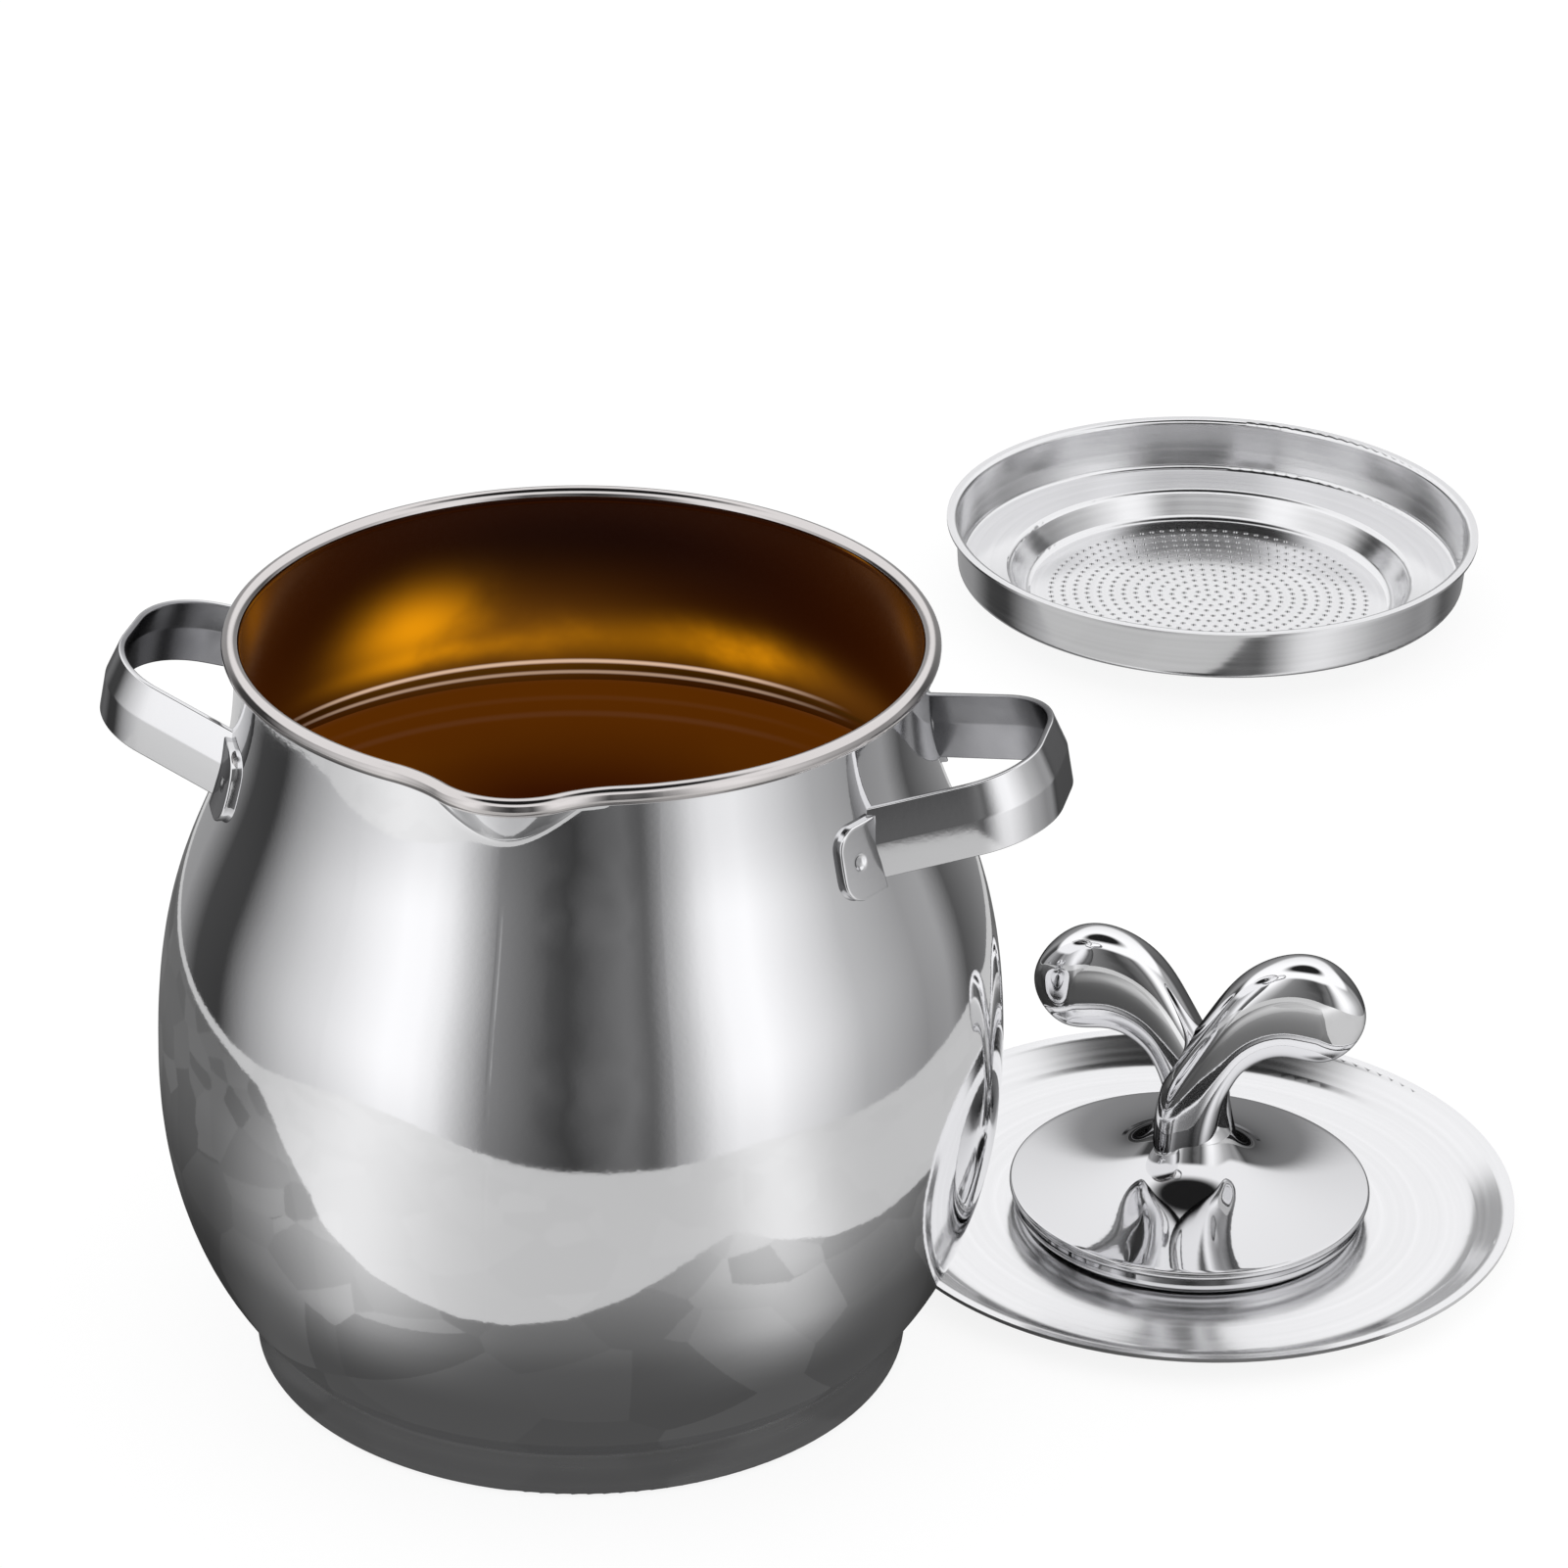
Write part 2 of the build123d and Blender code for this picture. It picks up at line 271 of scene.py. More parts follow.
# ---------------------------------------------------------------- studio

def add_camera():
    """Camera that is aimed beside the pot and rolled a little about its own axis."""
    lens = bpy.data.cameras.new("camera")
    lens.lens = camera_lens
    lens.sensor_width = 36.0
    lens.clip_end = 50.0
    camera = bpy.data.objects.new("camera", lens)
    camera.location = camera_place
    level = (camera_aim - camera_place).to_track_quat("-Z", "Y")
    camera.rotation_euler = (level @ Quaternion((0, 0, 1), radians(camera_roll))).to_euler()
    bpy.context.scene.collection.objects.link(camera)
    bpy.context.scene.camera = camera


def tone(shown):
    """Light level that the screen shows as this share of white."""
    return shown ** 2.2


studio_turn = 12.5            # how far round from the lip the studio's front lies, in degrees
studio_strength = 1.14
walls = [                     # angle from the studio's front in degrees, and the wall's tone there
    (-180, 0.65), (-145, 0.60), (-128, 0.28), (-112, 0.25), (-106, 0.46), (-98, 0.63), (-84, 0.79),
    (-72, 0.88), (-62, 0.95), (-53, 1.0), (-45, 0.99), (-39, 0.93), (-33, 0.77), (-25, 0.50),
    (-16, 0.41), (-9, 0.31), (-4, 0.26), (2, 0.35), (12, 0.43), (19, 0.36), (24, 0.56), (30, 0.76),
    (35, 0.90), (41, 0.98), (50, 1.0), (67, 0.86), (80, 0.72), (104, 0.58), (116, 0.62),
    (128, 0.34), (148, 0.5), (180, 0.65),
]
paper_edges = [               # angle, and how far the paper's near and far edges lie from the axis
    (-180, 262, 300), (-120, 296, 318), (-95, 300, 330), (-83, 288, 346), (-71, 219, 400),
    (-57, 167, 462), (-44, 139, 455), (-34, 129, 420), (-24, 122, 372), (-14, 121, 338),
    (-3, 127, 320), (9, 143, 315), (19, 165, 316), (26, 181, 322), (33, 191, 330), (43, 173, 337),
    (55, 159, 322), (68, 156, 300), (85, 162, 290), (102, 171, 288), (117, 193, 285),
    (127, 219, 265), (150, 250, 290),
]
table_start = 40              # how far from the axis the dark table begins, under the pot
near_tones = [                # distance from the axis, and the dark table's tone there
    (75, 0.31), (95, 0.33), (110, 0.40), (130, 0.46), (150, 0.52), (190, 0.57),
]
near_glows = ((0.27, -43, 19), (0.26, 41, 17))    # strength, angle and width
paper_tone = 0.745
paper_glows = ((0.17, -52, 22), (0.16, 44, 13))
ceiling_tone, gap_tone = 0.97, 0.14
wall_top = (17, 26)           # rise at which the walls end and the ceiling begins
front_wall_extra = 16         # how much higher the walls stand in front
overhead_gap = (58, 72)       # rise at which the dark gap overhead begins and is full


def add_studio_light():
    """Soft boxes and dark gaps that the polished metal reflects, laid out by direction.

    Across is the angle round the object from the studio's front, positive to the right, and rise is
    the angle above the horizon, both in degrees. Other rays see plain even light.
    """
    world = bpy.data.worlds.new("studio")
    world.use_nodes = True
    tree = world.node_tree
    tree.nodes.clear()
    turn = radians(studio_turn)
    direction = node(tree, "ShaderNodeTexCoord", out="Generated")
    right = dot(tree, direction, (cos(turn), sin(turn), 0))
    near = dot(tree, direction, (sin(turn), -cos(turn), 0))
    up = dot(tree, direction, (0, 0, 1))
    across = right.math("ARCTAN2", right, near) * (180 / pi)
    rise = up.math("ARCSINE", up) * (180 / pi)

    # Walls: a little wavy in front, darker below the horizon
    stops = [((angle + 180) / 360, tone(shown)) for angle, shown in walls]
    sway = noise(tree, direction, 5.0, 1.0)
    wavy = across + (sway - 0.5) * across.band(-10, 14, 5) * 9
    wall = node(tree, "ShaderNodeValToRGB", {"stops": stops}, {0: (wavy + 180) / 360})
    wall = wall * rise.ramp(-24, 2, 0.82, 1.0)

    # Ceiling: pale all round, with a dark gap overhead; the walls stand higher in front
    ceiling = tone(ceiling_tone) - rise.ramp(*overhead_gap) * (tone(ceiling_tone) - tone(gap_tone))
    front = across.band(-50, 50, 50)
    seen = wall.towards(ceiling, (rise - front * front_wall_extra).ramp(*wall_top))

    colour = node(tree, "ShaderNodeCombineColor", {}, {0: seen, 1: seen, 2: seen * 1.01})
    studio = node(tree, "ShaderNodeBackground", {}, {"Color": colour, "Strength": studio_strength})
    plain = node(tree, "ShaderNodeBackground", {}, {"Color": (1, 1, 1, 1), "Strength": 1.0})
    glossy = node(tree, "ShaderNodeLightPath", out="Is Glossy Ray")
    shader = node(tree, "ShaderNodeMixShader", {}, {0: glossy, 1: plain, 2: studio})
    show(tree, shader, "ShaderNodeOutputWorld")
    bpy.context.scene.world = world
    bpy.context.scene.view_settings.view_transform = "Standard"


def bell(value, middle, width):
    """Bell curve: e to the power of minus the square of the distance in widths."""
    return np.exp(-((value - middle) / width) ** 2)


def add_reflected_table():
    """The table as the polished metal sees it: dark near the pot, then a curved sheet of paper.

    Two grids in polar form, angle by distance. The dark one runs from under the pot to the paper's
    near edge; it brightens outwards, glows on each side and is darker behind. The paper is palest
    on both sides.
    """
    angle = np.arange(-180, 180, 1.5)
    edges = np.array(paper_edges, float)
    near, far = (np.interp(angle, edges[:, 0], edges[:, side], period=360) for side in (1, 2))
    start = table_start + 0 * near
    share = np.linspace(0, 1, 30)[:, None]
    distance = start + (near - start) * share
    base = np.interp(distance, *np.transpose(near_tones))
    base = base * (1 - 0.3 * smooth_step(np.abs(angle), 68, 96))
    glow = sum(strength * bell(angle, middle, width) for strength, middle, width in near_glows)
    dark = base + glow * smooth_step(distance, 74, 108)
    glow = sum(strength * bell(angle, middle, width) for strength, middle, width in paper_glows)
    pale = paper_tone + glow + 0 * share
    bearing = np.radians(angle + studio_turn)
    for name, inner, outer, shown, height, patchy in (("table", start, near, dark, -0.35, 0.38),
                                                      ("paper", near, far, pale, -0.3, 0.04)):
        reach = inner + (outer - inner) * share
        points = np.stack([reach * np.sin(bearing), -reach * np.cos(bearing), height + 0 * reach],
                          axis=-1)
        table = add_mesh(name, points, grid_faces(*reach.shape, False, True))
        level = table.data.attributes.new("level", "FLOAT", "POINT")
        level.data.foreach_set("value", tone(shown).ravel() * studio_strength)
        table.data.materials.append(table_glow(name, patchy))
        table.visible_camera = False
        table.visible_diffuse = False
        table.visible_shadow = False
        table.visible_transmission = False


def table_glow(name, patchy):
    """Plain glow from the mesh's own level, broken into flat patches with straight edges."""
    material, tree = empty_material(name)
    place = node(tree, "ShaderNodeTexCoord", out="Object")
    level = node(tree, "ShaderNodeAttribute", {"attribute_name": "level"}, out="Fac")
    patch = node(tree, "ShaderNodeTexVoronoi", {}, {"Vector": place, "Scale": 27.0}, out="Color")
    patch = dot(tree, patch, (1, 0, 0))
    strength = level * (1 + (patch - 0.5) * patchy)
    show(tree, node(tree, "ShaderNodeEmission", {}, {"Strength": strength}))
    return material


def add_floor():
    """Plain white floor; the metal reflects the dark table and its paper instead of it."""
    half, drop = 8000.0, 0.2
    corners = np.array([(-half, -half, 0), (half, -half, 0), (half, half, 0), (-half, half, 0)])
    floor = add_mesh("floor", corners, np.array([(0, 1, 2, 3)]))
    floor.location.z = -drop / 1000
    material, tree = empty_material("floor")
    glow = node(tree, "ShaderNodeEmission", {}, {"Color": (1, 1, 1, 1), "Strength": 0.86})
    matt = node(tree, "ShaderNodeBsdfDiffuse", {}, {"Color": (0.17, 0.17, 0.17, 1)})
    show(tree, node(tree, "ShaderNodeAddShader", {}, {0: glow, 1: matt}))
    floor.data.materials.append(material)
    floor.visible_glossy = False


# ---------------------------------------------------------------- finishes

def start_finish(name):
    """New material with its object coordinates and a soft cloud of uneven polish."""
    material, tree = empty_material(name)
    place = node(tree, "ShaderNodeTexCoord", out="Object")
    return material, tree, place, noise(tree, place, 38.0, 4.0)


def bumps(tree, height, strength, depth=0.0002):
    """Surface that a height between 0 and 1 raises by up to a depth in metres."""
    sockets = {"Strength": strength, "Distance": depth, "Height": height}
    return node(tree, "ShaderNodeBump", {}, sockets)


def along(tree, place, axis):
    """Place along the x, y or z axis, in millimetres."""
    return dot(tree, place, {"x": (1000, 0, 0), "y": (0, 1000, 0), "z": (0, 0, 1000)}[axis])


def metal(material, colour, rough, bump, glow=None, rim_tint=(1, 1, 1, 1)):
    """Finishes a material as bare metal from its colour, roughness, bumps and any glow.

    The rim tint is how much of the colour is left at grazing angles.
    """
    tree = material.node_tree
    sockets = {"Metallic": 1.0, "Specular Tint": rim_tint, "Base Color": colour, "Roughness": rough,
               "Normal": bump}
    if glow:
        sockets.update({"Emission Strength": 1.0, "Emission Color": glow})
    show(tree, node(tree, "ShaderNodeBsdfPrincipled", {}, sockets))
    return material


def plain_metal(name, colour, roughness, grain):
    """Matt metal with cloudy roughness and colour, under a fine grain."""
    material, tree, place, cloud = start_finish(name)
    fine = noise(tree, place, grain, 3.0)
    rough = roughness + (cloud - 0.5) * 0.1 + (fine - 0.5) * 0.06
    darker = tuple(0.94 * level for level in colour[:3]) + (1,)
    return metal(material, blended(tree, cloud, colour, darker), rough, bumps(tree, fine, 0.1))


clean_steel = (0.86, 0.86, 0.87, 1)
# painted shade: the rim's colour, darker and warmer than the wall's
rim_painted_shade = (0.66, 0.63, 0.62, 1)
film_low, film_high = (0.20, 0.12, 0.075, 1), (0.30, 0.23, 0.19, 1)
dark_band_colour = (0.03, 0.01, 0.006, 1)
# colours of painted glows inside the pot, standing in for light in the grease
painted_brown_glow_colour, painted_amber_glow_colour = (0.15, 0.055, 0.006, 1), (0.80, 0.30, 0.003, 1)
# colour of the pale rings, painted highlights that glow
painted_ring_highlight_colour = (0.66, 0.46, 0.33, 1)
satin_tone = 0.91


def pot_finish():
    """Mirror polish outside with a faint weld seam below the lip, and a rim of darker, warmer colour,
    which is painted shade.

    Inside, a film of grease dulls it. Painted light glows amber and brown in soft spots on the back
    wall, standing in for light in the grease, a spot being e to the power of minus the squared
    distances in angle and height. Two pale rings there glow as painted highlights, with a dark band
    between them.
    """
    material, tree, place, cloud = start_finish("pot_steel")
    inside = node(tree, "ShaderNodeAttribute", {"attribute_name": "inside"}, out="Fac")
    fine = noise(tree, place, 900.0, 3.0)
    sway = noise(tree, place, 26.0, 1.0)
    x, y, z = (along(tree, place, axis) for axis in "xyz")
    turn = x.math("ARCTAN2", x, y) * (180 / pi)

    def spot(angle, height, width, depth):
        across, upward = (turn - angle) / width, (z - height) / depth
        fall = 0 - across * across - upward * upward
        return fall.math("EXPONENT", fall)

    def highlight_ring(height, soft):
        return z.band(height - 0.1, height + 0.1, soft)

    seam = abs(x).ramp(0.1, 0.6, 1.0, 0.0) * y.ramp(-40, -30, 1.0, 0.0) * cloud.ramp(0.42, 0.6)
    bump = bumps(tree, sway * 0.55 + fine * 0.02 - seam * 0.05, 1.0)

    # painted light: amber and brown glowing spots on the back wall stand in for light in the grease
    painted_amber_glow = spot(-42, 119, 11, 7.5) * 0.95 + spot(-37, 111, 15, 2.6) * 0.5
    painted_amber_glow = painted_amber_glow + spot(12, 113.2, 13, 4.6) * 1.05 + spot(-10, 112, 14, 5) * 0.45
    painted_amber_glow = painted_amber_glow * cloud.ramp(0.32, 0.62, 0.38, 1.0)
    painted_brown_glow = spot(-28, 113, 30, 12) * 0.6 + spot(34, 110, 16, 7) * 0.5
    # painted highlights: two pale rings that glow on the back wall
    painted_ring_highlights = (highlight_ring(upper_ring_highlight, 0.7) + highlight_ring(lower_ring_highlight, 0.6) * 0.55) * turn.band(-45, 10, 26)
    gap = z.band(dark_ring - 0.25, dark_ring + 0.25, 0.7)
    bead_foot = pot_height - bead_diameter

    film = blended(tree, z.ramp(108, 140), film_low, film_high)
    film = blended(tree, gap, film, dark_band_colour)
    # painted shade: the rim above the bead's foot takes a darker, warmer colour
    outside = blended(tree, z.ramp(bead_foot - 0.2, bead_foot + 0.4), clean_steel, rim_painted_shade)
    colour = blended(tree, inside, outside, film)
    glow = blended(tree, painted_brown_glow * inside, (0, 0, 0, 1), painted_brown_glow_colour)
    glow = blended(tree, painted_amber_glow * inside, glow, painted_amber_glow_colour)
    glow = blended(tree, painted_ring_highlights * inside, glow, painted_ring_highlight_colour)
    rough = (0.05 + (cloud - 0.5) * 0.03 + (fine - 0.5) * 0.02).towards(0.24, inside)
    return metal(material, colour, rough, bump, glow)


def handle_finish():
    """Polished strip, duller on its inner side, which faces the middle of the loop.

    There painted shade darkens its colour.
    """
    material, tree, place, cloud = start_finish("handle_steel")
    fine = noise(tree, place, 900.0, 3.0)
    normal = node(tree, "ShaderNodeTexCoord", out="Normal")
    x, y = (along(tree, place, axis) for axis in "xy")
    middle = x.math("SIGN", x) * (neck_radius + handle_reach) * 0.5
    facing = (x - middle) * dot(tree, normal, (1, 0, 0)) + y * dot(tree, normal, (0, 1, 0))
    off_tabs = abs(y).ramp(handle_root_half - 1, handle_root_half + 0.3, 1.0, 0.0)
    inner = facing.ramp(-3, 0, 1.0, 0.0) * off_tabs
    # painted shade: the colour darkens on the inner side, in cloudy patches
    painted_shade = inner * cloud.ramp(0.3, 0.7, 0.6, 1.0)
    colour = blended(tree, painted_shade, (0.82, 0.82, 0.83, 1), (0.22, 0.22, 0.23, 1))
    rough = 0.10 + (cloud - 0.5) * 0.06 + inner * 0.1
    return metal(material, colour, rough, bumps(tree, fine, 0.03), rim_tint=(0.3, 0.3, 0.3, 1))


def knob_finish():
    """Chrome plating: a clear mirror, greyer on the flange, that darkens at grazing angles."""
    material, tree, place, cloud = start_finish("knob_chrome")
    fine = noise(tree, place, 700.0, 3.0)
    leaf = along(tree, place, "z").ramp(14, 24)
    plate = blended(tree, leaf, (0.76, 0.76, 0.77, 1), (0.93, 0.93, 0.94, 1))
    rough = 0.035 + (cloud - 0.5) * 0.02
    return metal(material, plate, rough, bumps(tree, fine, 0.01), rim_tint=(0.1, 0.1, 0.1, 1))


def turned_finish(name, piece, roughness):
    """Satin metal of one tone, with fine lines that run round the piece."""
    material, tree, place, cloud = start_finish(name)
    centre = np.array(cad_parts[piece].bound_box).mean(axis=0) * 1000
    x, y, z = (along(tree, place, axis) for axis in "xyz")
    x, y = x - centre[0], y - centre[1]
    reach = (x * x + y * y) ** 0.5
    lines = node(tree, "ShaderNodeCombineXYZ", {}, {0: reach * 0.7, 1: z * 0.7})
    brushed = noise(tree, lines, 1.0, 1.0)
    level = tone(satin_tone) * (0.92 + brushed * 0.16)
    colour = node(tree, "ShaderNodeCombineColor", {}, {0: level, 1: level, 2: level * 1.01})
    rough = roughness + (cloud - 0.5) * 0.06 + (brushed - 0.5) * 0.10
    return metal(material, colour, rough, bumps(tree, brushed, 0.12, 0.0001))


# ---------------------------------------------------------------- meshes

def grid_faces(rows, columns, rows_close, columns_close):
    """Corner numbers of a grid's quads: each joins a point, its neighbour and the two after them."""
    row = np.arange(rows if rows_close else rows - 1)[:, None]
    column = np.arange(columns if columns_close else columns - 1)[None, :]
    next_row, next_column = (row + 1) % rows, (column + 1) % columns
    corners = np.broadcast_arrays(row * columns + column, row * columns + next_column,
                                  next_row * columns + next_column, next_row * columns + column)
    return np.stack(corners, axis=-1).reshape(-1, 4)


def add_piece(name, body, slot, finish, stands_for, *surfaces):
    """One mesh from several grids in millimetres, each (points, rows close, columns close).

    Points that coincide, as at a pole, are merged, and the faces are turned outwards.
    """
    points, faces, start = [], [], 0
    for grid, rows_close, columns_close in surfaces:
        rows, columns = grid.shape[:2]
        points.append(grid.reshape(-1, 3) / 1000)
        faces.append(grid_faces(rows, columns, rows_close, columns_close) + start)
        start += rows * columns
    mesh = bpy.data.meshes.new(name)
    mesh.from_pydata(np.concatenate(points).tolist(), [], np.concatenate(faces).tolist())
    shape = bmesh.new()
    shape.from_mesh(mesh)
    bmesh.ops.remove_doubles(shape, verts=shape.verts, dist=merge_distance)
    bmesh.ops.dissolve_degenerate(shape, edges=shape.edges, dist=merge_distance)
    bmesh.ops.recalc_face_normals(shape, faces=shape.faces)
    shape.to_mesh(mesh)
    shape.free()
    mesh.shade_smooth()
    mesh.set_sharp_from_angle(angle=radians(crease_angle))
    mesh.materials.append(finish)
    piece = bpy.data.objects.new(name, mesh)
    bpy.context.scene.collection.objects.link(piece)
    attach(piece, body)
    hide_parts(stands_for)
    return piece


def bezier(corners, count):
    """Points of the cubic curve whose weights are the cubes and triple products of t and 1 - t."""
    t = np.linspace(0, 1, count)[:, None]
    a, b, c, d = np.asarray(corners, float)
    return (1 - t) ** 3 * a + 3 * (1 - t) ** 2 * t * b + 3 * (1 - t) * t ** 2 * c + t ** 3 * d


def rounded_line(points, radii, steps=8):
    """Straight runs joined by arcs that start radius * tan(half the turn) before each corner."""
    points = [np.asarray(point, float) for point in points]
    line = [points[0]]
    for before, corner, after, radius in zip(points, points[1:], points[2:], radii):
        into = (corner - before) / np.linalg.norm(corner - before)
        out = (after - corner) / np.linalg.norm(after - corner)
        half_turn = np.arccos(np.clip(into @ out, -1, 1)) / 2
        bisector = (out - into) / np.linalg.norm(out - into)
        centre = corner + bisector * radius / np.cos(half_turn)
        angles = np.linspace(-half_turn, half_turn, steps)[:, None]
        across = (into + out) / np.linalg.norm(into + out)
        line += list(centre - bisector * radius * np.cos(angles) + across * radius * np.sin(angles))
    line.append(points[-1])
    return np.array(line)


def offset_line(line, distance):
    """The same line moved sideways: each point goes along the normal of its neighbours' chord."""
    along = np.gradient(line, axis=0)
    along /= np.linalg.norm(along, axis=1)[:, None]
    return line + np.stack([-along[:, 1], along[:, 0]], axis=1) * distance


def turned(profile, columns):
    """A profile turned about a vertical axis: radius * cos, radius * sin, height."""
    angle = np.linspace(0, 2 * pi, columns, endpoint=False)
    radius, height = profile[:, :1], profile[:, 1:]
    return np.stack([radius * np.cos(angle), radius * np.sin(angle), height + 0 * angle], axis=-1)


def densified(line, step):
    """Points every step along a line, by straight interpolation over its length."""
    length = np.concatenate([[0], np.cumsum(np.linalg.norm(np.diff(line, axis=0), axis=1))])
    count = max(int(length[-1] / step), 2)
    at = np.linspace(0, length[-1], count)
    return np.stack([np.interp(at, length, line[:, axis]) for axis in range(line.shape[1])], axis=1)


def smooth_curve(points, count):
    """Natural cubic spline through points at even steps of its parameter, solved as one system."""
    points = np.asarray(points, float)
    last = len(points) - 1
    system = np.eye(last + 1)
    bend = np.zeros_like(points)
    for row in range(1, last):
        system[row, row - 1:row + 2] = (1, 4, 1)
    bend[1:-1] = 6 * (points[2:] - 2 * points[1:-1] + points[:-2])
    bend = np.linalg.solve(system, bend)
    t = np.linspace(0, last, count)
    index = np.minimum(t.astype(int), last - 1)
    u = (t - index)[:, None]
    first, second = points[index], points[index + 1]
    return ((1 - u) * first + u * second
            + ((1 - u) ** 3 - (1 - u)) * bend[index] / 6 + (u ** 3 - u) * bend[index + 1] / 6)


def smooth_step(value, low, high):
    """Goes from 0 to 1 while the value goes from low to high, as 3 t^2 - 2 t^3."""
    t = np.clip((value - low) / (high - low), 0, 1)
    return t * t * (3 - 2 * t)


# ---------------------------------------------------------------- pot

def lip_turns():
    """Angles round the pot from the lip, close together at the lip and wider apart elsewhere."""
    front = np.linspace(-lip_zone, lip_zone, 150, endpoint=False)
    rest = np.linspace(lip_zone, 360 - lip_zone, 150, endpoint=False)
    return np.radians(np.concatenate([front, rest]))


def reach_of_circle(turn, centre, radius, side=1):
    """Distance from the axis to a circle at the lip: c cos t plus or minus sqrt(a^2 - (c sin t)^2)."""
    inside = np.maximum(radius ** 2 - (centre * np.sin(turn)) ** 2, 0)
    return centre * np.cos(turn) + side * np.sqrt(inside)


def rim_reach(turn):
    """Middle line of the rolled rim: its circle, two hollow arcs and the lip's circle, by angle."""
    turn = np.abs((turn + pi) % (2 * pi) - pi)
    rim_side, lip_side = bead_circle + lip_blend, lip_radius + lip_blend
    hollow = np.arccos((lip_centre ** 2 + rim_side ** 2 - lip_side ** 2)
                       / (2 * lip_centre * rim_side))
    touch_x = rim_side * sin(hollow) * lip_radius / lip_side
    touch_y = lip_centre + (rim_side * cos(hollow) - lip_centre) * lip_radius / lip_side
    touch = np.arctan2(touch_x, touch_y)
    arc = reach_of_circle(turn - hollow, rim_side, lip_blend, -1)
    lip = reach_of_circle(turn, lip_centre, lip_radius)
    return np.where(turn < touch, lip, np.where(turn < hollow, arc, bead_circle))


def lip_bulge(turn, height):
    """How far the slanted cone of the lip stands out of the neck, with a soft crease between them.

    The larger of two radii a and b, softened by k, is (a + b + sqrt((a - b)^2 + k^2)) / 2.
    """
    side = pot_profile()
    neck = np.interp(height, side[:, 1], side[:, 0])
    root = pot_height - lip_depth
    share = (height - root) / (bead_height - root)
    centre = (neck_radius - lip_root_radius) * (1 - share) + cone_centre * share
    radius = lip_root_radius * (1 - share) + lip_cone_radius * share
    cone = np.where(np.cos(turn) > 0, reach_of_circle(turn, centre, radius), 0)
    larger = (neck + cone + np.sqrt((neck - cone) ** 2 + lip_crease ** 2)) / 2
    bulge = (larger - neck) * smooth_step(height, lip_start, lip_full)
    flare = smooth_step(height, neck_height, bead_height)
    return bulge + flare * (rim_reach(turn) - neck_step - neck_radius - bulge)


def pot_profile():
    """Side of the pot from its foot to the middle of the rolled rim, as (radius, height)."""
    slope = radians(waist_angle)
    lower, upper = belly_height - foot_height, neck_height - belly_height
    foot, belly = (foot_radius, foot_height), (belly_radius, belly_height)
    neck = (neck_radius, neck_height)
    pull = waist_pull * lower
    low = bezier([foot, (foot_radius + pull * cos(slope), foot_height + pull * sin(slope)),
                  (belly_radius, belly_height - belly_pull * lower), belly], 44)
    high = bezier([belly, (belly_radius, belly_height + shoulder_pull * upper),
                   (neck_radius, neck_height - neck_pull * upper), neck], 400)
    shoulder = densified(high[high[:, 1] < fine_height], coarse_step)[1:]
    below_lip = densified(high[high[:, 1] >= fine_height], fine_step)
    top = np.linspace(neck, (neck_radius, bead_height), 11)[1:]
    return np.concatenate([low, shoulder, below_lip, top])


def pot_surface(profile, turn):
    """Profile carried round the axis, with the lip's bulge added to its radius."""
    radius, height = profile[:, :1], profile[:, 1:]
    radius = np.where(height < lip_start, radius, radius + lip_bulge(turn[None, :], height))
    return np.stack([radius * np.sin(turn), -radius * np.cos(turn), height + 0 * turn], axis=-1)


def rim_bead(turn):
    """Round bead along the rim's line: its line plus r cos a outwards and r sin a upwards."""
    reach, radius = rim_reach(turn), bead_diameter / 2
    line = np.stack([reach * np.sin(turn), -reach * np.cos(turn)], axis=1)
    along_line = np.roll(line, -1, axis=0) - np.roll(line, 1, axis=0)
    along_line /= np.linalg.norm(along_line, axis=1)[:, None]
    outward = np.stack([along_line[:, 1], -along_line[:, 0]], axis=1)
    angle = np.linspace(0, 2 * pi, 28, endpoint=False)[:, None]
    flat = line + outward * (radius * np.cos(angle))[..., None]
    height = bead_height + radius * np.sin(angle) + 0 * turn
    return np.concatenate([flat, height[..., None]], axis=-1)


def add_pot():
    """Wall of even thickness with a floor, and a round bead along the rim's line."""
    turn = lip_turns()
    side = pot_profile()
    inner = offset_line(side, pot_sheet)[::-1]
    inner[0, 1] = bead_height
    inner_skirt, floor_top = skirt_radius - pot_sheet, floor_height + pot_sheet
    skirt = [(0, floor_height), (skirt_radius, floor_height), (skirt_radius, foot_height)]
    floor = [(inner_skirt, foot_height), (inner_skirt, floor_top), (0, floor_top)]
    wall = np.concatenate([skirt, side, inner[:-1], floor])
    pot = add_piece("pot_wall", "pot", "polished_steel", pot_finish(), "pot_body",
                    (pot_surface(wall, turn), False, True), (rim_bead(turn), True, True))
    mark_inside(pot.data)


def mark_inside(mesh):
    """One on the points of the pot's inner face, nearer the axis than the sheet's middle."""
    points = np.empty(3 * len(mesh.vertices))
    mesh.vertices.foreach_get("co", points)
    x, y, height = points.reshape(-1, 3).T * 1000
    side = pot_profile()
    outer = np.interp(height, side[:, 1], side[:, 0]) + lip_bulge(np.arctan2(x, -y), height)
    inside = (np.hypot(x, y) < outer - pot_sheet / 2) & (height < bead_height)
    mesh.attributes.new("inside", "FLOAT", "POINT").data.foreach_set("value", inside.astype(float))


# ---------------------------------------------------------------- handles

def strap_outline():
    """Folded strip with rounded edges: outer face down, then the inner face back up."""
    outer = [(0, 0), (fold_out, -strap_upper), (fold_out - edge_in, -strap_upper - strap_lower)]
    inner = [(x - handle_sheet, y) for x, y in reversed(outer)]
    start = (-handle_sheet / 2, 0)
    edge, fold = strap_edge_radius, strap_fold_radius
    line = rounded_line([start, *outer, *inner, start], [edge, fold, edge, edge, fold, edge])
    return line[:-1]


